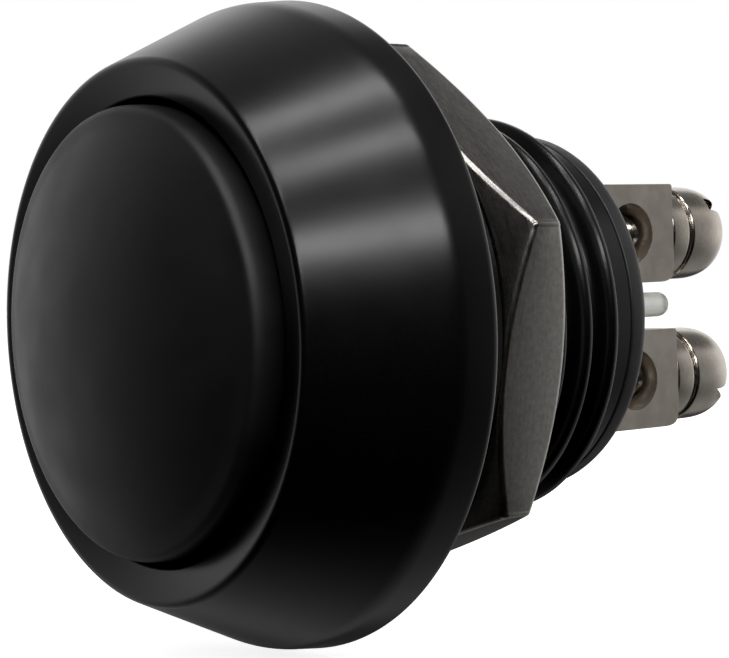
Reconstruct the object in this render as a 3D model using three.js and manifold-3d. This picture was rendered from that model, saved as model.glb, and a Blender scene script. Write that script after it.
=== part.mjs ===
// Momentary push button for a 12 mm panel hole, with two screw terminals.
//
// Millimetres, +Z up. The axis of the button is Y: the dome faces -Y and the terminals stand
// at +Y. The origin is on that axis, on the flat rear face of the head, which seats on the panel.
// The button is shown released, and its press moves everything on the stem along +Y.
import * as THREE from 'three';
import { mergeVertices } from 'three/addons/utils/BufferGeometryUtils.js';
import Module from 'manifold-3d';

const wasm = await Module();
wasm.setup();

// ---- driving dimensions ----------------------------------------------------------------------

const FACETS = 32;        // sides of a large round piece, and of one turn of a thread
const FINE_FACETS = 20;   // sides of a small round piece
const GAP = 0.02;         // between two faces that seat on each other
const SLIDE = 0.05;       // radial play of a piece that slides in a bore

const head = {
  rimInner: 6.33, rimOuter: 7.36, rimY: -4.66, rimFall: 0.23,
  coneRadius: 9.0, coneY: -1.28, bandRadius: 9.12, edge: 0.14,
  seatInner: 7.7, sealRecess: 0.6,
};
const web = { front: -1.33, rear: 0.2, bore: 2.45 };
const barrel = { bore: 4.6, end: 8.4, register: 5.9, registerEnd: 0.6 };

// M12 x 1, cut on the barrel and in the nut. The thread has its crest on the +Z side at crestY.
const thread = {
  major: 5.95, depth: 0.54, pitch: 1.0, crestHalf: 0.0625,
  crestY: 0.96, turns: 7.05, frontFade: 0.35, rearFade: 0.07, play: 0.06,
};
const flank = Math.tan(Math.PI / 6);
const root = thread.major - thread.depth;

const nut = { flats: 14.0, front: 2.03, thickness: 2.22, cornerTurn: 11.4, flatRadius: 7.0, bevel: 0.6 };
const lockWasher = { inner: 6.05, outer: 7.0, thickness: 0.45, teeth: 12, notch: 0.5 };
const panelRing = { inner: 6.0, section: 1.5 };

const TRAVEL = 1.5;
const cap = {
  radius: 6.15, apexY: -6.72, shoulderY: -5.12, domeEdge: 5.85, domeEdgeY: -5.44,
  skirtY: web.front - GAP - TRAVEL, pocketRadius: 5.2, pocketY: -4.75,
  sealGroove: { floor: 5.7, front: -3.95, rear: -3.2 },
};
const stem = { radius: 2.4, end: 1.0, pinRadius: 1.0, pinEnd: 2.6, groove: 1.9, clip: 0.5, clipOuter: 3.3 };

const plunger = {
  headRadius: 2.0, front: 1.05, seat: 2.9, rodRadius: 0.8, rodEnd: 5.56,
  tailRadius: 0.4, tailEnd: 15.3,
};
const bridge = { front: 4.8, thickness: 0.4, length: 6.6, width: 2.4, contactRadius: 0.7, contact: 0.4 };
const CONTACT_GAP = 1.0;
const snapRing = { outer: 1.4, thickness: 0.25 };

const returnSpring = { radius: 3.5, wire: 0.38, turns: 3.75 };
const contactSpring = { radius: 1.3, wire: 0.22, turns: 3.5 };

const base = { front: 7.2, plug: 4.55, flangeRadius: 5.42, flangeY: 8.42, rear: 9.08, lip: 0.2 };
const sleeve = { front: 2.9, outer: 4.55, slotWidth: 2.7, slotLength: 7.4, bore: 2.15 };
const baseSeal = { inner: 4.1, section: 0.42, y: 7.85 };

const terminal = {
  z: 2.3, height: 3.1, width: 2.9, seat: 14.4, corner: 0.4,
  shank: 0.6, padRadius: 0.8, wireRadius: 0.95, wireY: 12.5,
};
const screw = {
  radius: 0.78, headRadius: 1.5, headSide: 1.2, headHeight: 2.02, tip: 12.9,
  slotWidth: 0.46, slotDepth: 1.0, slotTurn: { upper: 52, lower: 120 },
};
const clampWasher = { inner: 0.85, outer: 1.45, thickness: 0.84 };

// ---- materials -------------------------------------------------------------------------------

const finish = (color, roughness, metalness) =>
  new THREE.MeshStandardMaterial({ color, roughness, metalness });
const anodised = finish(0x141416, 0.42, 0.7);
const matteBlack = finish(0x1c1c1e, 0.62, 0.45);
const nickel = finish(0x8f8b84, 0.34, 1.0);
const brightNickel = finish(0xb5ab9c, 0.22, 1.0);
const blackSteel = finish(0x2a2a2c, 0.45, 0.9);
const springSteel = finish(0xa2a4a6, 0.3, 1.0);
const silver = finish(0xd8d6d0, 0.25, 1.0);
const rubber = finish(0x0d0d0e, 0.8, 0.0);
const phenolic = finish(0x161616, 0.55, 0.0);
const nylon = finish(0xe8e6df, 0.5, 0.0);

// ---- shape helpers ---------------------------------------------------------------------------

// A closed mesh with shared vertices, its faces pointing out whichever way the outline ran.
function closed(geometry) {
  const shape = geometry.clone();
  for (const name of ['normal', 'uv']) shape.deleteAttribute(name);
  const merged = mergeVertices(shape, 1e-4);
  const p = merged.getAttribute('position');
  const corner = [0, 1, 2].map(() => new THREE.Vector3());
  const kept = [];
  let volume = 0;
  for (let i = 0; i < merged.index.count; i += 3) {
    const ids = [0, 1, 2].map((k) => merged.index.getX(i + k));
    if (new Set(ids).size < 3) continue;
    kept.push(ids);
    ids.forEach((id, k) => corner[k].fromBufferAttribute(p, id));
    volume += corner[0].dot(corner[1].cross(corner[2]));
  }
  merged.setIndex(kept.flatMap(([a, b, c]) => (volume < 0 ? [a, c, b] : [a, b, c])));
  return merged;
}

function toSolid(geometry) {
  const shape = closed(geometry);
  return new wasm.Manifold(new wasm.Mesh({
    numProp: 3,
    vertProperties: new Float32Array(shape.getAttribute('position').array),
    triVerts: new Uint32Array(shape.index.array),
  }));
}

function toGeometry(solid) {
  const mesh = solid.getMesh();
  const geometry = new THREE.BufferGeometry();
  geometry.setAttribute('position', new THREE.BufferAttribute(mesh.vertProperties, 3));
  geometry.setIndex(new THREE.BufferAttribute(mesh.triVerts, 1));
  return geometry;
}

// A body of revolution about Y from [radius, y] points. The outline closes on itself or the axis.
function turned(points, facets = FACETS) {
  const [first, last] = [points[0], points.at(-1)];
  const onAxis = first[0] === 0 && last[0] === 0;
  const outline = (onAxis ? points : [...points, first]).map(([r, y]) => new THREE.Vector2(r, y));
  return closed(new THREE.LatheGeometry(outline, facets));
}

const ring = (inner, outer, front, rear, facets) =>
  turned([[inner, front], [outer, front], [outer, rear], [inner, rear]], facets);

const disc = (radius, front, rear, facets) =>
  turned([[0, front], [radius, front], [radius, rear], [0, rear]], facets);

// A ring of round section about Y.
function toroid(centreRadius, sectionRadius, y, sides = 6, facets = FACETS) {
  const points = [];
  for (let i = 0; i < sides; i += 1) {
    const a = (2 * Math.PI * (i + 0.5)) / sides;
    points.push([centreRadius + sectionRadius * Math.cos(a), y + sectionRadius * Math.sin(a)]);
  }
  return turned(points, facets);
}

const block = (dx, dy, dz, x = 0, y = 0, z = 0) => new THREE.BoxGeometry(dx, dy, dz).translate(x, y, z);

// An outline drawn in X and Z, given a thickness along Y that starts at front.
function plate(shape, front, thickness, curveSegments = 8) {
  const slab = new THREE.ExtrudeGeometry(shape, { depth: thickness, bevelEnabled: false, curveSegments });
  return closed(slab.rotateX(Math.PI / 2).translate(0, front + thickness, 0));
}

// The ridge of a screw thread: a section that grows from the wall at foot to the crest, swept
// round a right-hand helix about Y. It fades into the wall over a part of a turn at each end.
function ridge({ foot, crest, wall, crestHalf, y, turns, frontFade = 0, rearFade = 0, pitch = thread.pitch }) {
  const steps = Math.round(turns * FACETS);
  const sign = Math.sign(crest - foot);
  const positions = [];
  for (let i = 0; i <= steps; i += 1) {
    const turn = i / FACETS;
    const atFront = frontFade ? turn / frontFade : 1;
    const atRear = rearFade ? Math.max(0, turns - turn) / rearFade : 1;
    const grown = Math.min(1, atFront, atRear);
    const top = wall + (crest - wall) * grown - sign * 0.01 * (1 - grown);
    const half = (r) => crestHalf + Math.abs(crest - r) * flank;
    const section = [[foot, -half(foot)], [top, -half(top)], [top, half(top)], [foot, half(foot)]];
    const a = 2 * Math.PI * turn;
    for (const [r, dy] of section) {
      positions.push(r * Math.sin(a), y + pitch * turn + dy, r * Math.cos(a));
    }
  }
  const index = [];
  for (let i = 0; i < steps; i += 1) {
    for (let k = 0; k < 4; k += 1) {
      const [a, b] = [4 * i + k, 4 * i + ((k + 1) % 4)];
      index.push(a, b, b + 4, a, b + 4, a + 4);
    }
  }
  const end = 4 * steps;
  index.push(2, 1, 0, 3, 2, 0, end, end + 1, end + 2, end, end + 2, end + 3);
  const geometry = new THREE.BufferGeometry();
  geometry.setAttribute('position', new THREE.Float32BufferAttribute(positions, 3));
  geometry.setIndex(index);
  return closed(geometry);
}

// The centre line of a compression spring along Y, wound closer at both ends.
class Coil extends THREE.Curve {
  constructor(radius, front, rear, turns) {
    super();
    Object.assign(this, { radius, front, rear, turns });
  }

  getPoint(t, target = new THREE.Vector3()) {
    const closeness = 0.35;
    const along = t - (closeness * Math.sin(2 * Math.PI * t)) / (2 * Math.PI);
    const a = 2 * Math.PI * this.turns * t;
    const y = this.front + (this.rear - this.front) * along;
    return target.set(this.radius * Math.sin(a), y, this.radius * Math.cos(a));
  }
}

function spring({ radius, wire, turns }, front, rear) {
  const section = new THREE.Shape().absarc(0, 0, wire / 2, 0, 2 * Math.PI);
  const path = new Coil(radius, front + wire / 2, rear - wire / 2, turns);
  const steps = Math.round(turns * 12);
  return closed(new THREE.ExtrudeGeometry(section, { steps, extrudePath: path, curveSegments: 4 }));
}

// ---- pieces ----------------------------------------------------------------------------------

// Head, guide web and threaded barrel, turned from one bar.
function housing() {
  const coneEnd = [head.coneRadius, head.coneY];
  const shell = turned([
    [head.rimInner, head.rimY],
    [head.rimOuter, head.rimY - head.rimFall],
    coneEnd,
    [head.bandRadius, -head.edge],
    [head.bandRadius - head.edge, 0],
    [head.seatInner, 0],
    [head.seatInner, -head.sealRecess],
    [barrel.register, -head.sealRecess],
    [barrel.register, barrel.registerEnd],
    [root, barrel.registerEnd],
    [root, barrel.end],
    [barrel.bore, barrel.end],
    [barrel.bore, web.rear],
    [web.bore, web.rear],
    [web.bore, web.front],
    [head.rimInner, web.front],
  ]);
  const external = ridge({
    foot: root - 0.15, crest: thread.major, wall: root, crestHalf: thread.crestHalf,
    y: thread.crestY, turns: thread.turns, frontFade: thread.frontFade, rearFade: thread.rearFade,
  });
  const length = toSolid(disc(head.bandRadius, 0, barrel.end));
  return toGeometry(toSolid(shell).add(toSolid(external).intersect(length)));
}

// Hexagon with both faces bevelled, threaded to run on the barrel.
function hexNut() {
  const { flats, thickness, cornerTurn, flatRadius, bevel } = nut;
  const corner = flats / Math.sqrt(3);
  const fall = (corner + 0.1 - flatRadius) * bevel;
  const hexagon = new THREE.CylinderGeometry(corner, corner, thickness, 6)
    .rotateY(THREE.MathUtils.degToRad(cornerTurn))
    .translate(0, thickness / 2, 0);
  const bevels = turned([
    [0, 0], [flatRadius, 0], [corner + 0.1, fall],
    [corner + 0.1, thickness - fall], [flatRadius, thickness], [0, thickness],
  ]);
  const wall = thread.major + 0.08;
  const crest = root + 0.09;
  const crestHalf = thread.pitch / 2 - thread.crestHalf - (thread.major - crest) * flank - thread.play;
  const phase = thread.crestY + thread.pitch / 2 - nut.front;
  const startY = phase - Math.ceil(phase + 1) * thread.pitch;
  const internal = ridge({
    foot: wall + 0.15, crest, wall, crestHalf, y: startY, turns: Math.ceil(thickness) + 2,
  });
  const mouth = 0.35;
  const countersinks = turned([
    [0, -1], [wall + mouth * 0.4, -1], [wall + mouth * 0.4, 0], [crest - 0.05, mouth + 0.2],
    [crest - 0.05, thickness - mouth - 0.2], [wall + mouth * 0.4, thickness],
    [wall + mouth * 0.4, thickness + 1], [0, thickness + 1],
  ]);
  const slab = toSolid(disc(wall + 0.3, 0, thickness));
  return toGeometry(
    toSolid(hexagon).intersect(toSolid(bevels))
      .subtract(toSolid(disc(wall, -1, thickness + 1)))
      .add(toSolid(internal).intersect(slab))
      .subtract(toSolid(countersinks)),
  );
}

// Flat washer with notches round its bore.
function toothedWasher() {
  const { inner, outer, thickness, teeth, notch } = lockWasher;
  let solid = toSolid(ring(inner, outer, 0, thickness));
  for (let i = 0; i < teeth; i += 1) {
    const cutter = block(notch, 2 * thickness, notch, 0, thickness / 2, inner);
    solid = solid.subtract(toSolid(cutter.rotateY((2 * Math.PI * i) / teeth)));
  }
  return toGeometry(solid);
}

// Dome, skirt and stem in one piece. The skirt stops on the web at the end of the press.
function buttonCap() {
  const { radius, apexY, shoulderY, domeEdge, domeEdgeY, skirtY, pocketRadius, pocketY, sealGroove } = cap;
  const rise = domeEdgeY - apexY;
  const sphere = (domeEdge ** 2 + rise ** 2) / (2 * rise);
  const dome = [];
  const steps = 5;
  for (let i = 0; i <= steps; i += 1) {
    const r = (domeEdge * i) / steps;
    dome.push([r, apexY + sphere - Math.sqrt(sphere ** 2 - r ** 2)]);
  }
  return turned([
    ...dome,
    [radius - 0.1, domeEdgeY + 0.13],
    [radius, shoulderY],
    [radius, sealGroove.front],
    [sealGroove.floor, sealGroove.front],
    [sealGroove.floor, sealGroove.rear],
    [radius, sealGroove.rear],
    [radius, skirtY],
    [pocketRadius, skirtY],
    [pocketRadius, pocketY],
    [stem.radius, pocketY],
    [stem.radius, web.rear + GAP],
    [stem.groove, web.rear + GAP],
    [stem.groove, web.rear + 3 * GAP + stem.clip],
    [stem.radius, web.rear + 3 * GAP + stem.clip],
    [stem.radius, stem.end],
    [stem.pinRadius, stem.end],
    [stem.pinRadius, stem.pinEnd],
    [0, stem.pinEnd],
  ]);
}

// Open clip that snaps into the stem's groove behind the web.
function retainingClip() {
  const mouth = 0.62;
  const inner = stem.groove + GAP;
  const shape = new THREE.Shape();
  shape.absarc(0, 0, stem.clipOuter, mouth, 2 * Math.PI - mouth, false);
  shape.absarc(0, 0, inner, 2 * Math.PI - mouth, mouth, true);
  shape.closePath();
  return plate(shape, web.rear + 2 * GAP, stem.clip, 16);
}

// Spring seat with a socket for the stem's pin, the rod that carries the bridge, and a thin tail.
function plungerRod() {
  const socket = stem.pinRadius + GAP;
  const { headRadius, front, seat, rodRadius, rodEnd, tailRadius, tailEnd } = plunger;
  const grooveRear = bridge.front + bridge.thickness + snapRing.thickness + 2 * GAP;
  return turned([
    [socket, front],
    [headRadius, front],
    [headRadius, seat],
    [rodRadius, seat],
    [rodRadius, bridge.front + bridge.thickness + GAP],
    [rodRadius - 0.15, bridge.front + bridge.thickness + GAP],
    [rodRadius - 0.15, grooveRear + GAP],
    [rodRadius, grooveRear + GAP],
    [rodRadius, rodEnd],
    [tailRadius, rodEnd + 0.1],
    [tailRadius, tailEnd - tailRadius * 0.8],
    [tailRadius * 0.7, tailEnd - tailRadius * 0.25],
    [0, tailEnd],
    [0, stem.pinEnd + GAP],
    [socket, stem.pinEnd + GAP],
  ], FINE_FACETS);
}

// Springy bar with rounded ends that joins the two fixed contacts.
function contactBridge() {
  const { length, width, thickness, front } = bridge;
  const half = length / 2 - width / 2;
  const shape = new THREE.Shape();
  shape.absarc(0, half, width / 2, 0, Math.PI, false);
  shape.absarc(0, -half, width / 2, Math.PI, 2 * Math.PI, false);
  shape.closePath();
  const hole = new THREE.Path().absarc(0, 0, plunger.rodRadius + 2 * SLIDE, 0, 2 * Math.PI, true);
  shape.holes.push(hole);
  return plate(shape, front, thickness, 10);
}

// Insulating guide with a slot that keeps the bridge from turning.
function contactSleeve() {
  const length = base.front - GAP - sleeve.front;
  const middle = sleeve.front + length / 2;
  return toGeometry(
    toSolid(disc(sleeve.outer, sleeve.front, sleeve.front + length))
      .subtract(toSolid(block(sleeve.slotWidth, length + 2, sleeve.slotLength, 0, middle)))
      .subtract(toSolid(disc(sleeve.bore, sleeve.front - 1, base.front + 1, FINE_FACETS))),
  );
}

// Plug and flange that close the barrel and hold the terminals apart.
function terminalBase() {
  const { front, plug, flangeRadius, flangeY, rear, lip } = base;
  const grooveHalf = baseSeal.section / 2 + GAP;
  const body = turned([
    [0, front],
    [plug, front],
    [plug, baseSeal.y - grooveHalf],
    [baseSeal.inner - GAP, baseSeal.y - grooveHalf],
    [baseSeal.inner - GAP, baseSeal.y + grooveHalf],
    [plug, baseSeal.y + grooveHalf],
    [plug, flangeY],
    [flangeRadius, flangeY],
    [flangeRadius, rear - lip],
    [flangeRadius - lip, rear],
    [0, rear],
  ]);
  const hole = (radius, z) => toSolid(disc(radius, front - 1, rear + 1, FINE_FACETS).translate(0, 0, z));
  return toGeometry(
    toSolid(body)
      .subtract(hole(plunger.tailRadius + 2 * SLIDE, 0))
      .subtract(hole(terminal.shank + GAP, terminal.z))
      .subtract(hole(terminal.shank + GAP, -terminal.z)),
  );
}

// Square post with a cross hole for the wire, a threaded end hole and a shank through the base.
function terminalPost() {
  const { height, width, seat, corner, shank, wireRadius, wireY } = terminal;
  const front = base.rear + GAP;
  const outline = new THREE.Shape([
    new THREE.Vector2(front, -height / 2),
    new THREE.Vector2(seat - corner, -height / 2),
    new THREE.Vector2(seat, -height / 2 + corner),
    new THREE.Vector2(seat, height / 2),
    new THREE.Vector2(front, height / 2),
  ]);
  // the outline is drawn along Y and Z, and the width runs along X
  const body = new THREE.ExtrudeGeometry(outline, { depth: width, bevelEnabled: false })
    .applyMatrix4(new THREE.Matrix4().set(0, 0, 1, -width / 2, 1, 0, 0, 0, 0, 1, 0, 0, 0, 0, 0, 1));
  const wireHole = new THREE.CylinderGeometry(wireRadius, wireRadius, 2 * width, FINE_FACETS)
    .rotateZ(Math.PI / 2).translate(0, wireY, 0);
  return toGeometry(
    toSolid(body)
      .add(toSolid(disc(shank, base.front + GAP, front + 0.2, FINE_FACETS)))
      .subtract(toSolid(wireHole))
      .subtract(toSolid(disc(screw.radius + SLIDE, wireY, seat + 1, FINE_FACETS))),
  );
}

// Slotted screw with a domed head, along Y.
function terminalScrew(slotTurn) {
  const { radius, headRadius, headSide, headHeight, tip, slotWidth, slotDepth } = screw;
  const under = terminal.seat + clampWasher.thickness + 2 * GAP;
  const top = under + headHeight;
  const body = turned([
    [0, tip],
    [radius - 0.15, tip],
    [radius, tip + 0.15],
    [radius, under],
    [headRadius, under],
    [headRadius, under + headSide],
    [headRadius * 0.88, top - 0.3],
    [headRadius * 0.55, top - 0.06],
    [0, top],
  ], FINE_FACETS);
  const slot = block(slotWidth, 2 * slotDepth, 4 * headRadius, 0, top, 0)
    .rotateY(THREE.MathUtils.degToRad(slotTurn));
  return toGeometry(toSolid(body).subtract(toSolid(slot)));
}

// ---- assembly --------------------------------------------------------------------------------

const button = new THREE.Group();

function piece(name, geometry, material, parent = button, y = 0) {
  const mesh = new THREE.Mesh(geometry, material);
  mesh.name = name;
  mesh.position.y = y;
  parent.add(mesh);
  return mesh;
}

piece('housing', housing(), anodised);
piece('panel_o_ring', toroid(panelRing.inner + panelRing.section / 2, panelRing.section / 2,
  panelRing.section / 2 - head.sealRecess + GAP, 8), rubber);
piece('lock_washer', toothedWasher(), blackSteel, button, nut.front - GAP - lockWasher.thickness);
piece('hex_nut', hexNut(), nickel, button, nut.front);

const capSealRadius = 0.28;
const capSealY = (cap.sealGroove.front + cap.sealGroove.rear) / 2;
piece('button_cap', buttonCap(), matteBlack);
piece('cap_seal', toroid(head.rimInner - SLIDE - capSealRadius, capSealRadius, capSealY), rubber);
piece('return_spring', spring(returnSpring, cap.pocketY + GAP, web.front - GAP), springSteel);
piece('retaining_clip', retainingClip(), springSteel);
piece('plunger', plungerRod(), nylon);
piece('contact_spring', spring(contactSpring, plunger.seat + GAP, bridge.front - GAP), springSteel);

const bridgeRear = bridge.front + bridge.thickness;
piece('contact_bridge', contactBridge(), silver);
piece('snap_ring', ring(plunger.rodRadius - 0.13, snapRing.outer, bridgeRear + 2 * GAP,
  bridgeRear + 2 * GAP + snapRing.thickness, FINE_FACETS), springSteel);
piece('contact_sleeve', contactSleeve(), phenolic);
piece('terminal_base', terminalBase(), phenolic);
piece('base_seal', toroid(baseSeal.inner + baseSeal.section / 2, baseSeal.section / 2, baseSeal.y), rubber);

for (const [side, sign] of [['upper', 1], ['lower', -1]]) {
  const terminalGroup = new THREE.Group();
  terminalGroup.position.z = sign * terminal.z;
  button.add(terminalGroup);
  const bridgeContact = disc(bridge.contactRadius, bridgeRear, bridgeRear + bridge.contact, FINE_FACETS);
  const padFront = bridgeRear + bridge.contact + CONTACT_GAP + GAP;
  const pad = disc(terminal.padRadius, padFront, base.front - GAP / 2, FINE_FACETS);
  const washer = ring(clampWasher.inner, clampWasher.outer, 0, clampWasher.thickness, FINE_FACETS);
  piece(`bridge_contact_${side}`, bridgeContact, silver, terminalGroup);
  piece(`fixed_contact_${side}`, pad, silver, terminalGroup);
  piece(`terminal_post_${side}`, terminalPost(), brightNickel, terminalGroup);
  piece(`clamp_washer_${side}`, washer, brightNickel, terminalGroup, terminal.seat + GAP);
  piece(`terminal_screw_${side}`, terminalScrew(screw.slotTurn[side]), brightNickel, terminalGroup);
}

export default button;
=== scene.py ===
"""Panel push button: the detailed visual model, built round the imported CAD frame.

Outlines are in millimetres and are scaled to metres when a mesh is made. The button's axis is Y,
with the dome at -Y and the terminals at +Y. Places and outer sizes come from the CAD nodes' boxes.
"""
import math

import bmesh
import bpy
from mathutils import Matrix, Vector


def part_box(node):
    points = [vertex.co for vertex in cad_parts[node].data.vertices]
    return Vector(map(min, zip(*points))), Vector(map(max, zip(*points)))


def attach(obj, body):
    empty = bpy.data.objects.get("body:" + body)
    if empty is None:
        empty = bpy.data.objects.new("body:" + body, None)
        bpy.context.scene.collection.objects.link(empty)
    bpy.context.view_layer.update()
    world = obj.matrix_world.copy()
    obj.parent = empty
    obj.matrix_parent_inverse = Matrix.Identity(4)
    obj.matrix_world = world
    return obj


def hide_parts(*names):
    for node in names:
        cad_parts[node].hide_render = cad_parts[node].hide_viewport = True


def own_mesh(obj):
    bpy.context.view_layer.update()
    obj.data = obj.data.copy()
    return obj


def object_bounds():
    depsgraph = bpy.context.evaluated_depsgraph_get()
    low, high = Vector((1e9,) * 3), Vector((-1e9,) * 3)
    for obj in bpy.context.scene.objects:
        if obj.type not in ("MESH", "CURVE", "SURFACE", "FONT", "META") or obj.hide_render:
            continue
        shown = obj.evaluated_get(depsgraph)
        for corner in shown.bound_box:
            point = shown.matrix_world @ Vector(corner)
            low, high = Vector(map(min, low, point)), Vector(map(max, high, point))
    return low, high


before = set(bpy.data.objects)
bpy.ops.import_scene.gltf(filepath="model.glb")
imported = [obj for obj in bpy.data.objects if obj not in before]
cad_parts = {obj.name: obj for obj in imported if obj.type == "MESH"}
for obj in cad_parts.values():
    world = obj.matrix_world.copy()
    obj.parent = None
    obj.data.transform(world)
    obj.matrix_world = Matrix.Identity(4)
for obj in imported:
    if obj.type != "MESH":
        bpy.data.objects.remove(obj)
cad_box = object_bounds()

MM = 0.001
TURN = 2 * math.pi


def extent(node):
    """Front Y, rear Y and outer radius about the button's axis of a CAD node, in mm."""
    low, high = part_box(node)
    return low.y / MM, high.y / MM, high.x / MM


def centre_z(node):
    low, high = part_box(node)
    return (low.z + high.z) / 2 / MM


# ---- sizes, in mm ----------------------------------------------------------------------------

RIM_FRONT, BARREL_END, BAND_RADIUS = extent("housing")
CAP_APEX, STEM_END, CAP_RADIUS = extent("button_cap")
NUT_FRONT, NUT_REAR, _ = extent("hex_nut")
BASE_FRONT, BASE_REAR, BASE_RADIUS = extent("terminal_base")
POST_FRONT, POST_REAR, POST_HALF_WIDTH = extent("terminal_post_upper")
TERMINAL_Z = centre_z("terminal_post_upper")

RIM_INNER = 6.33
RIM_OUTER = 7.36
RIM_FALL = 0.23  # how far the rim's top sinks towards the cap
CONE_RADIUS = 9.0
CONE_Y = -1.28
WEB_FRONT, WEB_REAR, WEB_BORE = -1.33, 0.2, 2.45
BARREL_BORE = 4.6
SEAT_INNER, SEAT_RECESS = 7.7, 0.6
REGISTER_RADIUS, REGISTER_END = 5.9, 0.6

THREAD_MAJOR, THREAD_DEPTH, PITCH = 5.95, 0.54, 1.0
THREAD_ROOT = THREAD_MAJOR - THREAD_DEPTH
CREST_Y = 0.96
THREAD_TURNS, FRONT_FADE, REAR_FADE = 7.05, 0.35, 0.07
THREAD_STEPS = 14

NUT_FLATS, NUT_CORNER_TURN, NUT_FLAT_RADIUS = 14.0, 11.4, 6.95
NUT_BEVEL = 0.6  # the bevel's fall for each mm of radius
NUT_ROUNDING = 0.12

# ---- mesh making -----------------------------------------------------------------------------

WELD, SLIVER = 0.0004, 0.0003
SHARP_ANGLE = 38

def make_piece(name, vertices, faces, sharp_angle=SHARP_ANGLE):
    """A welded, outward-facing mesh object from vertices in mm."""
    bm = bmesh.new()
    made = [bm.verts.new(v) for v in vertices]
    for face in faces:
        corners = [made[i] for i in face]
        if len(set(corners)) > 2:
            bm.faces.new(corners)
    bmesh.ops.remove_doubles(bm, verts=bm.verts, dist=WELD)
    bmesh.ops.dissolve_degenerate(bm, edges=bm.edges, dist=SLIVER)
    bmesh.ops.recalc_face_normals(bm, faces=bm.faces)
    bmesh.ops.scale(bm, vec=(MM, MM, MM), verts=bm.verts)
    mesh = bpy.data.meshes.new(name)
    bm.to_mesh(mesh)
    bm.free()
    shade(mesh, sharp_angle)
    piece = bpy.data.objects.new(name, mesh)
    bpy.context.scene.collection.objects.link(piece)
    return piece


def shade(mesh, sharp_angle=SHARP_ANGLE):
    mesh.shade_smooth()
    mesh.set_sharp_from_angle(angle=math.radians(sharp_angle))


def fit_out(piece, body, material, slot, *nodes):
    """Sets a piece's material and its body, and hides the CAD nodes it stands for. The slot
    argument is not used.
    """
    piece.data.materials.clear()
    piece.data.materials.append(material)
    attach(piece, body)
    if nodes:
        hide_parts(*nodes)
    return piece


def rounded(corners, steps=4):
    """An outline of (r, y) points from (r, y, fillet) corners, each fillet a short curve."""
    longest = 0.49  # a fillet's reach, as a share of the side it lies on
    outline = []
    count = len(corners)
    for i, corner in enumerate(corners):
        r, y = corner[:2]
        fillet = corner[2] if len(corner) > 2 else 0
        if not fillet:
            outline.append((r, y))
            continue
        here = Vector((r, y))
        before = Vector(corners[i - 1][:2]) - here
        after = Vector(corners[(i + 1) % count][:2]) - here
        start = here + before.normalized() * min(fillet, before.length * longest)
        end = here + after.normalized() * min(fillet, after.length * longest)
        for k in range(steps + 1):
            t = k / steps
            point = start * (1 - t) ** 2 + here * 2 * t * (1 - t) + end * t**2
            outline.append((point.x, point.y))
    return outline


def even_angles(columns):
    return [TURN * i / columns for i in range(columns + 1)]


def turned(name, rows, angles, sharp_angle=SHARP_ANGLE, z=0):
    """A body of revolution about a line along Y at height z.

    A row is (r, y), or a function of the angle that gives them. The rows close on the axis where
    the first and last have no radius, and on each other if not.
    """
    at = [row if callable(row) else (lambda a, row=row: row) for row in rows]
    on_axis = max(at[0](0)[0], at[-1](0)[0]) < 1e-6
    count = len(rows)
    vertices = []
    for a in angles:
        for row in at:
            r, y = row(a)
            vertices.append((r * math.sin(a), y, z + r * math.cos(a)))
    faces = []
    for j in range(len(angles) - 1):
        for i in range(count - 1 if on_axis else count):
            k = (i + 1) % count
            a, b = j * count, (j + 1) * count
            faces.append((a + i, a + k, b + k, b + i))
    return make_piece(name, vertices, faces, sharp_angle)


def drill(radius, start, end, columns, z=0):
    """A cylinder along Y, to carve a hole with."""
    rows = [(0, start), (radius, start), (radius, end), (0, end)]
    return turned("drill", rows, even_angles(columns), z=z)


def thread_rows(root, depth, y_from, y_to, phase, first, turns, inward=False, mouth=None):
    """Rows of a right-hand thread, each following the helix so that its crest stays crisp.

    A thread with a mouth is cut back by it, and one without fades out at both ends.
    """
    places = [-0.5 + i / THREAD_STEPS for i in range(THREAD_STEPS)]
    section = [(u, crest_height(u)) for u in places]
    sign = -1 if inward else 1
    rows = []
    for k in range(first, first + turns + 1):
        for u, height in section:
            def row(a, k=k, u=u, height=height):
                turn = k + a / TURN
                place = phase + PITCH * (turn + u)
                y = min(max(place, y_from), y_to)
                grown = float(y_from < place < y_to)
                if mouth is None:
                    grown *= smooth(turn / FRONT_FADE) * smooth((THREAD_TURNS - turn) / REAR_FADE)
                r = root + sign * depth * height * grown
                return (max(r, mouth(y)), y) if mouth else (r, y)
            rows.append(row)
    return rows


def crest_height(u):
    """Share of the thread's depth, at u pitches from a crest: rounded crests and roots."""
    foot, flank = 0.42, 0.34
    return smooth((foot - abs(u)) / flank)


def smooth(t):
    t = min(max(t, 0.0), 1.0)
    return t * t * (3 - 2 * t)


def prism(name, outline, thickness, place):
    """An outline of (u, v) points given a thickness. place turns (u, v, w) into mm on the part."""
    count = len(outline)
    vertices = [place(u, v, w) for w in (0, thickness) for u, v in outline]
    faces = [tuple(range(count)), tuple(range(count, 2 * count))]
    faces += [(i, (i + 1) % count, count + (i + 1) % count, count + i) for i in range(count)]
    return make_piece(name, vertices, faces)


def arc_points(radius, start, end, count, centre_v=0):
    """Points (u, v) along an arc between two angles in degrees."""
    angles = [math.radians(start + (end - start) * i / (count - 1)) for i in range(count)]
    return [(radius * math.cos(a), centre_v + radius * math.sin(a)) for a in angles]


def stadium(length, width):
    """A bar with round ends, its length along V."""
    half = (length - width) / 2
    return arc_points(width / 2, 0, 180, 24, half) + arc_points(width / 2, 180, 360, 24, -half)


def evaluated(piece):
    """Applies a piece's modifiers to its mesh."""
    graph = bpy.context.evaluated_depsgraph_get()
    mesh = bpy.data.meshes.new_from_object(piece.evaluated_get(graph))
    piece.modifiers.clear()
    piece.data = mesh
    return piece


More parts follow.
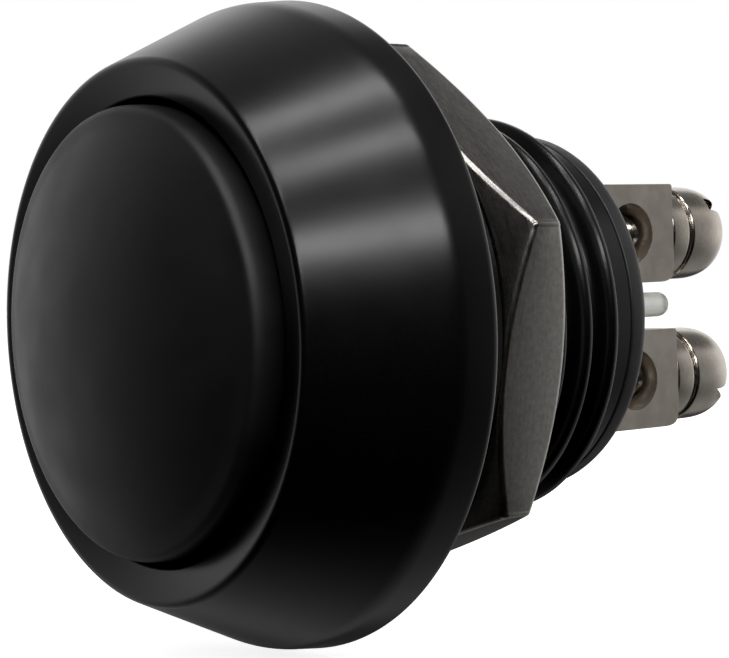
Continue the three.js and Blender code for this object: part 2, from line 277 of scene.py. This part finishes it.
def carve(piece, *cutters):
    for cutter in cutters:
        cut = piece.modifiers.new("cut", "BOOLEAN")
        cut.operation, cut.solver, cut.object = "DIFFERENCE", "EXACT", cutter
    evaluated(piece)
    for cutter in cutters:
        bpy.data.objects.remove(cutter)
    return piece


def ease_edges(piece, width):
    """Breaks a piece's sharp edges with a small round of width mm, and keeps its flats flat."""
    bevel = piece.modifiers.new("edge", "BEVEL")
    bevel.width, bevel.segments = width * MM, 2
    bevel.limit_method, bevel.angle_limit = "ANGLE", math.radians(35)
    bevel.miter_outer = "MITER_ARC"
    evaluated(piece)
    shade(piece.data)
    weighted = piece.modifiers.new("flats", "WEIGHTED_NORMAL")
    weighted.keep_sharp = True
    evaluated(piece)
    flatten(piece.data)
    return piece


def flatten(mesh):
    """Turns the corner normals round each large flat face exactly along the face's own."""
    large, alike, same = 0.5 * MM**2, 0.9, 0.9999  # an area, and cosines between normals
    flats = {}
    for face in mesh.polygons:
        if face.area > large:
            for vertex in face.vertices:
                flats.setdefault(vertex, []).append(face.normal.copy())
    normals = [corner.vector.copy() for corner in mesh.corner_normals]
    for loop in mesh.loops:
        normal = normals[loop.index]
        near = [flat for flat in flats.get(loop.vertex_index, ()) if flat.dot(normal) > alike]
        if near and all(near[0].dot(other) > same for other in near):
            normals[loop.index] = near[0]
    mesh.normals_split_custom_set(normals)


def tube(name, points, radius):
    """A round wire along a list of points in mm, closed at both ends."""
    sides = 14
    points = [Vector(p) for p in points]
    vertices, faces = [], []
    normal = None
    for i, point in enumerate(points):
        ahead = points[min(i + 1, len(points) - 1)] - points[max(i - 1, 0)]
        ahead.normalize()
        if normal is None:
            normal = ahead.orthogonal()
        normal = (normal - ahead * normal.dot(ahead)).normalized()
        side = ahead.cross(normal)
        for k in range(sides):
            a = TURN * k / sides
            vertices.append(point + radius * (normal * math.cos(a) + side * math.sin(a)))
    for i in range(len(points) - 1):
        for k in range(sides):
            a, b = i * sides + k, i * sides + (k + 1) % sides
            faces.append((a, b, b + sides, a + sides))
    faces += [tuple(range(sides)), tuple(range(len(vertices) - sides, len(vertices)))]
    return make_piece(name, vertices, faces)


# ---- materials -------------------------------------------------------------------------------

# The part of a noise's range that a roughness or a colour runs over.
ROUGHNESS_SPAN, COLOR_SPAN = (0.3, 0.7), (0.35, 0.65)


def ramp(tree, source, low, high, start, end, interpolation="LINEAR"):
    """Takes a value from start and end to low and high, and holds it beyond them."""
    ranged = tree.nodes.new("ShaderNodeMapRange")
    ranged.interpolation_type = interpolation
    limits = {"From Min": start, "From Max": end, "To Min": low, "To Max": high}
    for socket, value in limits.items():
        ranged.inputs[socket].default_value = value
    tree.links.new(source, ranged.inputs["Value"])
    return ranged.outputs["Result"]


class Finish:
    """A procedural material whose texture is laid out in mm on the object."""

    def __init__(self, name, color, roughness, metallic=0.0, **settings):
        self.material = bpy.data.materials.new(name)
        self.material.use_nodes = True
        self.tree = self.material.node_tree
        self.nodes, self.links = self.tree.nodes, self.tree.links
        self.shader = self.nodes["Principled BSDF"]
        self.color = color
        self.set("Base Color", (*color, 1))
        self.set("Roughness", roughness)
        self.set("Metallic", metallic)
        for socket, value in settings.items():
            self.set(socket.replace("_", " "), value)
        place = self.nodes.new("ShaderNodeTexCoord")
        self.place = place.outputs["Object"]

    def set(self, socket, value):
        self.shader.inputs[socket].default_value = value

    def noise(self, per_mm, stretch=(1, 1, 1)):
        mapping = self.nodes.new("ShaderNodeMapping")
        mapping.inputs["Scale"].default_value = [per_mm / MM * s for s in stretch]
        texture = self.nodes.new("ShaderNodeTexNoise")
        texture.inputs["Scale"].default_value = 1.0
        texture.inputs["Detail"].default_value = 3.0
        texture.inputs["Roughness"].default_value = 0.55
        self.links.new(self.place, mapping.inputs["Vector"])
        self.links.new(mapping.outputs["Vector"], texture.inputs["Vector"])
        return texture.outputs["Fac"]

    def vary_roughness(self, source, low, high):
        roughness = ramp(self.tree, source, low, high, *ROUGHNESS_SPAN)
        self.links.new(roughness, self.shader.inputs["Roughness"])
        return self

    def vary_color(self, source, other):
        mix = self.nodes.new("ShaderNodeMix")
        mix.data_type = "RGBA"
        mix.inputs[6].default_value = (*self.color, 1)
        mix.inputs[7].default_value = (*other, 1)
        self.links.new(ramp(self.tree, source, 0, 1, *COLOR_SPAN), mix.inputs[0])
        self.links.new(mix.outputs[2], self.shader.inputs["Base Color"])
        return self

    def bump(self, source, depth_mm):
        bump = self.nodes.new("ShaderNodeBump")
        bump.inputs["Distance"].default_value = depth_mm * MM
        bump.inputs["Strength"].default_value = 1.0
        self.links.new(source, bump.inputs["Height"])
        before = self.shader.inputs["Normal"]
        if before.is_linked:
            self.links.new(before.links[0].from_socket, bump.inputs["Normal"])
        self.links.new(bump.outputs["Normal"], before)
        return self


def anodised():
    finish = Finish("black_anodised_aluminium", (0.003, 0.003, 0.0033), 0.25)
    fine, broad = finish.noise(18), finish.noise(0.6)
    finish.vary_roughness(broad, 0.235, 0.27)
    finish.vary_color(fine, (0.005, 0.005, 0.0054))
    return finish.bump(fine, 0.0012).material


def matte_cap():
    finish = Finish("black_matte_cap", (0.005, 0.005, 0.0053), 0.5)
    fine, broad = finish.noise(14), finish.noise(0.5)
    finish.vary_roughness(broad, 0.47, 0.55)
    finish.vary_color(broad, (0.008, 0.008, 0.0085))
    return finish.bump(fine, 0.003).material


def brushed_nickel():
    finish = Finish("brushed_nickel", (0.38, 0.362, 0.34), 0.27, 1.0)
    grain = finish.noise(1.2, stretch=(1, 10, 1))
    speck = finish.noise(7)
    finish.vary_roughness(grain, 0.22, 0.32)
    finish.vary_color(speck, (0.30, 0.285, 0.265))
    return finish.bump(grain, 0.0012).bump(speck, 0.0008).material


def bright_nickel():
    finish = Finish("bright_nickel", (0.60, 0.55, 0.49), 0.2, 1.0)
    speck, broad = finish.noise(9), finish.noise(1.1)
    finish.vary_roughness(speck, 0.14, 0.28)
    finish.vary_color(broad, (0.50, 0.45, 0.39))
    return finish.bump(speck, 0.002).bump(broad, 0.006).material


def satin_nickel():
    finish = Finish("satin_nickel", (0.56, 0.515, 0.46), 0.36, 1.0)
    speck, broad = finish.noise(9), finish.noise(1.1)
    finish.vary_roughness(speck, 0.3, 0.42)
    finish.vary_color(broad, (0.46, 0.415, 0.36))
    return finish.bump(speck, 0.0015).bump(broad, 0.01).material


def plain_metal(name, color, roughness):
    finish = Finish(name, color, roughness, 1.0)
    drawn = finish.noise(4, stretch=(1, 3, 1))
    finish.vary_roughness(drawn, roughness * 0.8, roughness * 1.25)
    finish.vary_color(drawn, tuple(0.85 * c for c in color))
    return finish.bump(drawn, 0.001).material


def rubber():
    finish = Finish("black_rubber", (0.012, 0.012, 0.0125), 0.62)
    fine = finish.noise(8)
    finish.vary_roughness(fine, 0.55, 0.7)
    finish.vary_color(fine, (0.018, 0.018, 0.018))
    return finish.bump(fine, 0.002).material


def phenolic():
    finish = Finish("black_phenolic", (0.016, 0.016, 0.0165), 0.42)
    fine, broad = finish.noise(6), finish.noise(0.7)
    finish.vary_roughness(fine, 0.36, 0.5)
    finish.vary_color(broad, (0.026, 0.026, 0.026))
    return finish.bump(fine, 0.002).material


def nylon():
    finish = Finish("white_nylon", (0.9, 0.9, 0.87), 0.4, Transmission_Weight=0.55,
                    Subsurface_Weight=0.35, Subsurface_Scale=0.4 * MM)
    broad = finish.noise(1.5)
    finish.vary_roughness(broad, 0.34, 0.46)
    finish.vary_color(broad, (0.85, 0.85, 0.815))
    return finish.bump(broad, 0.003).material


ANODISED, MATTE_CAP = anodised(), matte_cap()
RUBBER, PHENOLIC, NYLON = rubber(), phenolic(), nylon()
NUT_NICKEL, BRIGHT_NICKEL, SATIN_NICKEL = brushed_nickel(), bright_nickel(), satin_nickel()
BLACK_STEEL = plain_metal("black_steel", (0.035, 0.035, 0.037), 0.4)
SPRING_STEEL = plain_metal("spring_steel", (0.5, 0.5, 0.51), 0.28)
SILVER = plain_metal("contact_silver", (0.8, 0.78, 0.74), 0.24)

# ---- pieces ----------------------------------------------------------------------------------


def housing():
    """Head, guide web and threaded barrel as one turned piece."""
    edge = 0.14
    outside = rounded([
        (RIM_INNER, WEB_FRONT, 0.12),
        (RIM_INNER, RIM_FRONT + RIM_FALL, 0.1),
        (RIM_OUTER, RIM_FRONT, 0.2),
        (CONE_RADIUS, CONE_Y, 0.3),
        (BAND_RADIUS, -0.1, 0.16),
        (BAND_RADIUS - edge, 0, 0.04),
        (SEAT_INNER, 0, 0.06),
        (SEAT_INNER, -SEAT_RECESS, 0.05),
        (REGISTER_RADIUS, -SEAT_RECESS, 0.05),
        (REGISTER_RADIUS, REGISTER_END, 0.12),
        (THREAD_ROOT, REGISTER_END, 0.12),
    ], steps=6)
    thread = thread_rows(THREAD_ROOT, THREAD_DEPTH, REGISTER_END + 0.14, BARREL_END - 0.06, CREST_Y,
                         first=-1, turns=8)
    inside = rounded([
        (THREAD_ROOT, BARREL_END - 0.05),
        (THREAD_ROOT - 0.05, BARREL_END),
        (BARREL_BORE, BARREL_END, 0.08),
        (BARREL_BORE, WEB_REAR, 0.1),
        (WEB_BORE, WEB_REAR, 0.06),
        (WEB_BORE, WEB_FRONT, 0.06),
    ])
    piece = turned("head_and_barrel", outside + thread + inside, even_angles(192))
    fit_out(piece, "switch_body", ANODISED, "black_anodised_aluminium", "housing")


def button_cap():
    """Domed cap with its skirt and stem."""
    dome_edge, dome_edge_y, shoulder_y = 5.85, -5.44, -5.12
    rise = dome_edge_y - CAP_APEX
    sphere = (dome_edge**2 + rise**2) / (2 * rise)
    steps = 30
    dome = []
    for i in range(steps):
        r = dome_edge * i / steps
        dome.append((r, CAP_APEX + sphere - math.sqrt(sphere**2 - r**2)))
    groove, groove_front, groove_rear = 5.7, -3.95, -3.2
    skirt_y, pocket, pocket_y = -2.85, 5.2, -4.75
    clip_groove, clip_front, clip_rear = 1.9, 0.22, 0.76
    stem, stem_y, pin = 2.4, 1.0, 1.0
    body = rounded([
        dome[-1],
        (CAP_RADIUS - 0.02, dome_edge_y + 0.04, 0.3),
        (CAP_RADIUS, shoulder_y + 0.3, 0.1),
        (CAP_RADIUS, groove_front, 0.04),
        (groove, groove_front),
        (groove, groove_rear),
        (CAP_RADIUS, groove_rear, 0.04),
        (CAP_RADIUS, skirt_y, 0.12),
        (pocket, skirt_y, 0.1),
        (pocket, pocket_y, 0.2),
        (stem, pocket_y, 0.2),
        (stem, clip_front, 0.04),
        (clip_groove, clip_front),
        (clip_groove, clip_rear),
        (stem, clip_rear, 0.04),
        (stem, stem_y, 0.12),
        (pin, stem_y),
        (pin, STEM_END, 0.15),
        (0, STEM_END),
    ])
    piece = turned("domed_cap", dome[:-1] + body, even_angles(144))
    fit_out(piece, "button", MATTE_CAP, "black_matte_cap", "button_cap")


def hexagon_radius(a):
    """Radius of the nut's outline at an angle, with slightly rounded corners."""
    sector = TURN / 6
    from_corner = (a - math.radians(NUT_CORNER_TURN) + sector / 2) % sector - sector / 2
    corner_centre = (NUT_FLATS / 2 - NUT_ROUNDING) / math.cos(sector / 2)
    reach = NUT_ROUNDING**2 - (corner_centre * math.sin(from_corner)) ** 2
    flat = NUT_FLATS / 2 / math.cos(sector / 2 - abs(from_corner))
    if reach > 0:
        return min(flat, corner_centre * math.cos(from_corner) + math.sqrt(reach))
    return flat


def hex_nut():
    """Nut with both faces bevelled and its thread in mesh with the barrel's."""
    sector = TURN / 6
    start = math.radians(NUT_CORNER_TURN)
    near_corner, clear = (0.004, 0.008, 0.013), 0.02
    within = [0, *near_corner, *[clear + (sector - 2 * clear) * i / 18 for i in range(19)]]
    within += [sector - step for step in reversed(near_corner)]
    angles = [start + sector * k + w for k in range(6) for w in within] + [start + TURN]

    def edge(y, direction, inset=0.0, lift=0.0):
        def row(a):
            r = hexagon_radius(a)
            fall = (r - NUT_FLAT_RADIUS) * NUT_BEVEL
            return r - inset, y + direction * max(0.0, fall + lift)
        return row

    def rounded_edge(y, direction):
        """Rows from the outline to the bevel, round the edge between them."""
        rows = []
        for t in (i / 4 for i in range(5)):
            lift = NUT_ROUNDING * ((1 - t) ** 2 - NUT_BEVEL * t**2)
            rows.append(edge(y, direction, NUT_ROUNDING * t**2, lift))
        return rows

    mouth_radius, mouth_depth = 6.17, 0.62
    wall = THREAD_MAJOR + 0.08
    crest = THREAD_ROOT + 0.09

    def mouth(y):
        depth = min(y - NUT_FRONT, NUT_REAR - y)
        return mouth_radius - (mouth_radius - crest) * min(depth / mouth_depth, 1)

    phase = CREST_Y + PITCH / 2
    bore = thread_rows(wall, wall - crest, NUT_FRONT, NUT_REAR, phase, first=-1, turns=5,
                       inward=True, mouth=mouth)
    flat_inner, flat_outer = mouth_radius + 0.02, NUT_FLAT_RADIUS - 0.15
    outside = [
        (flat_inner, NUT_REAR), (flat_outer, NUT_REAR),
        *reversed(rounded_edge(NUT_REAR, -1)), *rounded_edge(NUT_FRONT, 1),
        (flat_outer, NUT_FRONT), (flat_inner, NUT_FRONT),
    ]
    piece = turned("nut", bore + outside, angles, sharp_angle=30)
    fit_out(piece, "nut", NUT_NICKEL, "brushed_nickel", "hex_nut")


def seal(name, node, section, body):
    """A rubber ring that fills its CAD node's box."""
    front, rear, outer = extent(node)
    middle, radius = (front + rear) / 2, section / 2
    rows = []
    for a in even_angles(28)[:-1]:
        rows.append((outer - radius + radius * math.cos(a), middle + radius * math.sin(a)))
    fit_out(turned(name, rows, even_angles(128)), body, RUBBER, "black_rubber", node)


def terminal_base():
    """Moulded plug and flange, with holes for both shanks and the plunger's tail."""
    plug, groove, groove_front, groove_rear = 4.55, 4.08, 7.62, 8.08
    flange_y, dish, shank_hole, tail_hole = 8.42, 0.1, 0.62, 0.5
    body = rounded([
        (0, BASE_FRONT),
        (plug, BASE_FRONT, 0.1),
        (plug, groove_front, 0.03),
        (groove, groove_front),
        (groove, groove_rear),
        (plug, groove_rear, 0.03),
        (plug, flange_y),
        (BASE_RADIUS, flange_y, 0.06),
        (BASE_RADIUS, BASE_REAR, 0.3),
        (3.9, BASE_REAR, 0.05),
        (3.8, BASE_REAR - dish, 0.05),
        (0, BASE_REAR - dish),
    ], steps=5)
    piece = turned("insulating_base", body, even_angles(144))
    places = ((tail_hole, 0), (shank_hole, TERMINAL_Z), (shank_hole, -TERMINAL_Z))
    carve(piece, *[drill(radius, BASE_FRONT - 1, BASE_REAR + 1, 40, z) for radius, z in places])
    shade(piece.data)
    fit_out(piece, "switch_body", PHENOLIC, "black_phenolic", "terminal_base")


def terminal_post(side, z):
    """Flat-sided post with a cross hole for the wire and a shank through the base."""
    height, width, cut = 3.1, 2 * POST_HALF_WIDTH, 0.4
    wire_radius, wire_y, bore, shank = 0.95, 12.5, 0.83, 0.6
    front = BASE_REAR + 0.02
    half = height / 2
    corners = rounded([
        (front, -half), (POST_REAR - 0.1, -half, cut * 1.3), (POST_REAR, -half + cut * 1.5, 0.2),
        (POST_REAR, half, 0.12), (front, half),
    ], steps=5)
    piece = prism(f"post_{side}", corners, width, lambda y, dz, x: (x - width / 2, y, z + dz))
    wire = drill(wire_radius, -2, 2, 48)
    across = Matrix.Rotation(math.pi / 2, 4, "Z")
    wire.data.transform(Matrix.Translation((0, wire_y * MM, z * MM)) @ across)
    screw_rows = [
        (0, wire_y), (bore, wire_y), (bore, POST_REAR - 0.12), (bore + 0.16, POST_REAR + 0.04),
        (0, POST_REAR + 1),
    ]
    carve(piece, wire, turned("screw_hole", screw_rows, even_angles(40), z=z))
    ease_edges(piece, 0.07)
    fit_out(piece, "switch_body", SATIN_NICKEL, "bright_nickel", f"terminal_post_{side}")
    inside = front + 0.05
    rows = rounded([(0, POST_FRONT), (shank, POST_FRONT, 0.05), (shank, inside), (0, inside)])
    rod = turned(f"post_shank_{side}", rows, even_angles(40), z=z)
    fit_out(rod, "switch_body", SATIN_NICKEL, "bright_nickel")


def clamp_washer(side, z):
    front, rear, outer = extent(f"clamp_washer_{side}")
    bore = 0.85
    rows = rounded([
        (bore, front, 0.05), (outer, front, 0.1), (outer, rear, 0.16), (bore, rear, 0.05),
    ], steps=5)
    piece = turned(f"screw_washer_{side}", rows, even_angles(72), z=z)
    fit_out(piece, f"{side}_clamp", BRIGHT_NICKEL, "bright_nickel", f"clamp_washer_{side}")


def terminal_screw(side, z, slot_turn):
    """Domed slotted screw with a threaded shank."""
    front, rear, head = extent(f"terminal_screw_{side}")
    under = rear - 2.02
    pitch, root, depth = 0.4, 0.6, 0.18
    half_slot, slot_depth, past_head = 0.24, 1.0, 2
    helix = []
    turns = int((under - 0.25 - front) / pitch)
    for k in range(turns + 1):
        for u, height in ((0.0, 0.0), (0.38, 1.0), (0.5, 1.0), (0.88, 0.0)):
            def row(a, k=k, u=u, height=height):
                along = k + u + a / TURN - 1
                y = min(max(front + 0.05 + pitch * along, front + 0.05), under - 0.1)
                grown = smooth(along / 0.8) * smooth((under - 0.15 - y) / 0.2)
                return root + depth * height * grown, y
            helix.append(row)
    rows = [(0, front), (root - 0.15, front), *helix]
    rows += rounded([
        (root, under - 0.06),
        (root + 0.08, under),
        (head, under, 0.12),
        (head, under + 1.3, 0.6),
        (head * 0.72, rear - 0.1, 0.5),
        (0, rear),
    ], steps=7)
    piece = turned(f"screw_{side}", rows, even_angles(72), z=z)
    outline = [(-half_slot, -past_head), (half_slot, -past_head),
               (half_slot, past_head), (-half_slot, past_head)]
    slot = prism("slot", outline, past_head, lambda u, v, w: (u, w, v))
    turn = Matrix.Rotation(math.radians(slot_turn), 4, "Y")
    slot.data.transform(Matrix.Translation((0, (rear - slot_depth) * MM, z * MM)) @ turn)
    carve(piece, slot)
    shade(piece.data)
    fit_out(piece, f"{side}_screw", BRIGHT_NICKEL, "bright_nickel", f"terminal_screw_{side}")


def plunger():
    """Insulating rod that carries the bridge, with a thin tail out through the base."""
    front, tail_end, head = extent("plunger")
    rod, groove, groove_front, groove_rear = 0.8, 0.65, 5.22, 5.51
    socket, socket_y, head_y, tail = 1.02, 2.62, 2.9, 0.4
    rows = rounded([
        (socket, front, 0.05), (head, front, 0.15), (head, head_y, 0.1), (rod, head_y, 0.1),
        (rod, groove_front), (groove, groove_front), (groove, groove_rear), (rod, groove_rear),
        (rod, 5.55), (tail, 5.65, 0.05), (tail, tail_end, 0.34), (0, tail_end),
        (0, socket_y), (socket, socket_y),
    ], steps=6)
    piece = turned("plunger_rod", rows, even_angles(72))
    fit_out(piece, "button", NYLON, "white_nylon", "plunger")


def coil(name, front, rear, radius, wire, turns, body, node):
    """A compression spring with closed ends."""
    ends, steps = 0.75, 44
    total = turns + 2 * ends
    rise = rear - front - 3 * wire
    points = []
    for i in range(int(total * steps) + 1):
        t = i / steps
        working = min(max(t - ends, 0) / turns, 1)
        closed = min(t / ends, 1) + max(t - ends - turns, 0) / ends
        y = front + wire / 2 + wire * closed + rise * working
        points.append((radius * math.sin(TURN * t), y, radius * math.cos(TURN * t)))
    piece = fit_out(tube(name, points, wire / 2), body, SPRING_STEEL, "spring_steel", node)
    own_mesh(piece)


def springs():
    """Return spring under the cap, and the contact spring."""
    front, rear, outer = extent("return_spring")
    wire = 0.38
    coil("return_coil", front, rear, outer - wire / 2, wire, 2.6, "switch_body", "return_spring")
    front, rear, outer = extent("contact_spring")
    wire = 0.22
    coil("contact_coil", front, rear, outer - wire / 2, wire, 2.4, "button", "contact_spring")


def lock_washer():
    """Internal-tooth washer, its teeth twisted out of its plane."""
    front, rear, outer = extent("lock_washer")
    middle, half_ring, edge = (front + rear) / 2, 0.2, 0.05
    inner, notch, teeth, columns = 6.05, 0.5, 12, 16
    half_tooth, flank, half_thickness, twist = 0.26, 0.05, 0.12, 0.16

    def tooth(side):
        """The row along the teeth's inner ends, on the front or the rear."""
        def row(a):
            part = (a * teeth / TURN) % 1 - 0.5
            solid = smooth((half_tooth - abs(part)) / flank)
            y = middle + side * half_thickness + part * twist * solid
            return inner + notch * (1 - solid), y
        return row

    step = inner + notch + 0.02
    rows = [
        tooth(-1), tooth(1), (step, middle + half_ring), (outer - edge, rear), (outer, rear - edge),
        (outer, front + edge), (outer - edge, front), (step, middle - half_ring),
    ]
    piece = turned("toothed_washer", rows, even_angles(teeth * columns))
    fit_out(piece, "washer", BLACK_STEEL, "black_steel", "lock_washer")


def retaining_clip():
    """E-clip in the groove of the stem."""
    front, rear, outer = extent("retaining_clip")
    groove, mouth = 1.95, 35
    relief = groove + 0.5
    outline = arc_points(outer, mouth, 360 - mouth, 60)
    for middle in (240, 180, 120):
        outline += arc_points(relief, middle + 24, middle + 14, 5)
        outline += arc_points(groove, middle + 10, middle - 10, 9)
        outline += arc_points(relief, middle - 14, middle - 24, 5)
    piece = prism("stem_clip", outline, rear - front, lambda u, v, w: (u, front + w, v))
    ease_edges(piece, 0.04)
    fit_out(piece, "button", SPRING_STEEL, "spring_steel", "retaining_clip")


def snap_ring():
    front, rear, outer = extent("snap_ring")
    bore = 0.69
    rows = rounded([
        (bore, front, 0.05), (outer, front, 0.1), (outer, rear, 0.1), (bore, rear, 0.05),
    ])
    piece = turned("rod_snap_ring", rows, even_angles(64))
    fit_out(piece, "button", SPRING_STEEL, "spring_steel", "snap_ring")


def contact_sleeve():
    """Insulating sleeve that guides the bridge in a slot."""
    front, rear, outer = extent("contact_sleeve")
    slot_length, slot_width, bore = 7.4, 2.7, 2.15
    rows = rounded([(0, front), (outer, front, 0.12), (outer, rear, 0.12), (0, rear)])
    piece = turned("insulating_sleeve", rows, even_angles(120))
    outline = stadium(slot_length, slot_width)
    slot = prism("slot", outline, rear - front + 4, lambda u, v, w: (u, front - 2 + w, v))
    carve(piece, slot, drill(bore, front - 1, rear + 1, 64))
    ease_edges(piece, 0.05)
    fit_out(piece, "switch_body", PHENOLIC, "black_phenolic", "contact_sleeve")


def contact_bridge():
    front, rear, half_width = extent("contact_bridge")
    low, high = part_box("contact_bridge")
    outline = stadium((high.z - low.z) / MM, 2 * half_width)
    piece = prism("moving_bridge", outline, rear - front, lambda u, v, w: (u, front + w, v))
    rod_hole = 0.86
    carve(piece, drill(rod_hole, front - 1, rear + 1, 48))
    ease_edges(piece, 0.06)
    fit_out(piece, "moving_contact", SILVER, "contact_silver", "contact_bridge")


def contact(name, node, body, face):
    """A rivet contact whose working face, at the front or the rear, is slightly crowned."""
    low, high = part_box(node)
    front, rear, radius = low.y / MM, high.y / MM, (high.z - low.z) / 2 / MM
    crown = (radius * 0.7, rear - 0.02, 0.1)
    rows = [(0, front), (radius, front, 0.04), (radius, rear - 0.1, 0.06), crown, (0, rear)]
    if face == "front":
        rows = [(r, front + rear - y, *rest) for r, y, *rest in reversed(rows)]
    piece = turned(name, rounded(rows), even_angles(56), z=centre_z(node))
    fit_out(piece, body, SILVER, "contact_silver", node)


# ---- camera, light and floor -----------------------------------------------------------------

CAMERA_AIM = Vector((0, 2.856, -0.234)) * MM
CAMERA_DISTANCE = 63.05 * MM
CAMERA_AZIMUTH, CAMERA_ELEVATION, CAMERA_ROLL = 51.69, 1.69, -2.13
CAMERA_LENS, CAMERA_SENSOR = 106.8, 36
BLACK_LEVEL = 0.001
STRIP_DISTANCE, STRIP_FRONT, STRIP_REAR, STRIP_RADIANCE = 0.35, -0.3, 0.12, 9.0
# The sweep: its darkest and brightest, and the cosines to its azimuth where they are reached.
SWEEP_AZIMUTH, SWEEP = 222, (0.01, 0.95, -0.35, 0.7)
# Its fade upwards and downwards: the share of the light left, and the heights it runs between.
SWEEP_FADES = ((0.35, 0.45, 0.85), (0.3, 0.0, -0.6))
# Each black flag: azimuth, elevation, share of the light let by, cosines at its rim and middle.
FLAGS = ((186, 51, 0.3, 0.85, 0.97), (226, -27, 0.12, 0.91, 0.98))


def direction(azimuth, elevation):
    """Unit vector towards a place seen from the button: azimuth 0 is in front, 90 is at +X."""
    a, e = math.radians(azimuth), math.radians(elevation)
    return Vector((math.sin(a) * math.cos(e), -math.cos(a) * math.cos(e), math.sin(e)))


def camera():
    data = bpy.data.cameras.new("camera")
    data.lens, data.sensor_width = CAMERA_LENS, CAMERA_SENSOR
    data.clip_start, data.clip_end = 0.005, 10
    view = bpy.data.objects.new("camera", data)
    back = direction(CAMERA_AZIMUTH, CAMERA_ELEVATION)
    roll = Matrix.Rotation(math.radians(CAMERA_ROLL), 4, "Z")
    turn = (-back).to_track_quat("-Z", "Y").to_matrix().to_4x4()
    view.matrix_world = Matrix.Translation(CAMERA_AIM + back * CAMERA_DISTANCE) @ turn @ roll
    bpy.context.scene.collection.objects.link(view)
    bpy.context.scene.camera = view


def strip(name, azimuth, elevation, width):
    """A strip light along Y, above or beside the button, that reaches further to its front."""
    length = STRIP_REAR - STRIP_FRONT
    data = bpy.data.lights.new(name, "AREA")
    data.shape, data.size, data.size_y = "RECTANGLE", length, width
    data.energy = STRIP_RADIANCE * math.pi * length * width
    light = bpy.data.objects.new(name, data)
    place = direction(azimuth, elevation) * STRIP_DISTANCE
    light.rotation_euler = (-Vector((place.x, 0, place.z))).to_track_quat("-Z", "Y").to_euler()
    light.location = place + Vector((0, (STRIP_REAR + STRIP_FRONT) / 2, 0))
    light.visible_camera = False
    bpy.context.scene.collection.objects.link(light)


def surroundings():
    """A bright sweep behind the button that fades to its front, up and down, and black flags.

    The camera sees plain white in its place.
    """
    world = bpy.data.worlds.new("studio")
    bpy.context.scene.world = world
    world.use_nodes = True
    tree = world.node_tree
    nodes, links = tree.nodes, tree.links
    nodes["Background"].inputs["Color"].default_value = (1, 1, 1, 1)
    place = nodes.new("ShaderNodeTexCoord").outputs["Generated"]
    height = nodes.new("ShaderNodeSeparateXYZ")
    links.new(place, height.inputs["Vector"])

    def towards(azimuth, elevation):
        dot = nodes.new("ShaderNodeVectorMath")
        dot.operation = "DOT_PRODUCT"
        dot.inputs[1].default_value = direction(azimuth, elevation)
        links.new(place, dot.inputs[0])
        return dot.outputs["Value"]

    light = ramp(tree, towards(SWEEP_AZIMUTH, 0), *SWEEP, "SMOOTHSTEP")
    fades = [(height.outputs["Z"], *fade) for fade in SWEEP_FADES]
    fades += [(towards(azimuth, elevation), *flag) for azimuth, elevation, *flag in FLAGS]
    for source, least, start, end in fades:
        both = nodes.new("ShaderNodeMath")
        both.operation = "MULTIPLY"
        links.new(light, both.inputs[0])
        links.new(ramp(tree, source, 1, least, start, end, "SMOOTHSTEP"), both.inputs[1])
        light = both.outputs["Value"]
    pick = nodes.new("ShaderNodeMix")
    pick.inputs["B"].default_value = 1.0
    seen = nodes.new("ShaderNodeLightPath")
    links.new(seen.outputs["Is Camera Ray"], pick.inputs["Factor"])
    links.new(light, pick.inputs["A"])
    links.new(pick.outputs["Result"], nodes["Background"].inputs["Strength"])


def floor():
    """A pale glowing sheet just under the button, left out of reflections and bounced light."""
    half, gap = 0.6, 0.0001
    low = cad_box[0].z - gap
    corners = [(-half, -half, low), (half, -half, low), (half, half, low), (-half, half, low)]
    mesh = bpy.data.meshes.new("floor")
    mesh.from_pydata(corners, [], [(0, 1, 2, 3)])
    sheet = bpy.data.objects.new("floor", mesh)
    bpy.context.scene.collection.objects.link(sheet)
    paper = Finish("white_paper", (0.9, 0.9, 0.9), 0.9,
                   Emission_Color=(1, 1, 1, 1), Emission_Strength=0.85)
    mesh.materials.append(paper.bump(paper.noise(2), 0.01).material)
    sheet.visible_glossy = sheet.visible_diffuse = False


scene = bpy.context.scene
scene.view_settings.view_transform = "Standard"
scene.view_settings.use_curve_mapping = True
scene.view_settings.curve_mapping.black_level = (BLACK_LEVEL, BLACK_LEVEL, BLACK_LEVEL)
camera()
surroundings()
floor()
strip("upper_strip", 93, 80, 0.036)
strip("middle_strip", 82, 60, 0.034)
strip("side_strip", 80, 30, 0.05)

housing()
button_cap()
hex_nut()
seal("panel_seal", "panel_o_ring", 1.5, "switch_body")
seal("skirt_seal", "cap_seal", 0.56, "button")
seal("plug_seal", "base_seal", 0.42, "switch_body")
terminal_base()
for side, sign, slot_turn in (("upper", 1, 52), ("lower", -1, 120)):
    terminal_post(side, sign * TERMINAL_Z)
    clamp_washer(side, sign * TERMINAL_Z)
    terminal_screw(side, sign * TERMINAL_Z, slot_turn)
    contact(f"fixed_rivet_{side}", f"fixed_contact_{side}", "switch_body", "front")
    contact(f"bridge_rivet_{side}", f"bridge_contact_{side}", "moving_contact", "rear")
plunger()
springs()
lock_washer()
retaining_clip()
snap_ring()
contact_sleeve()
contact_bridge()
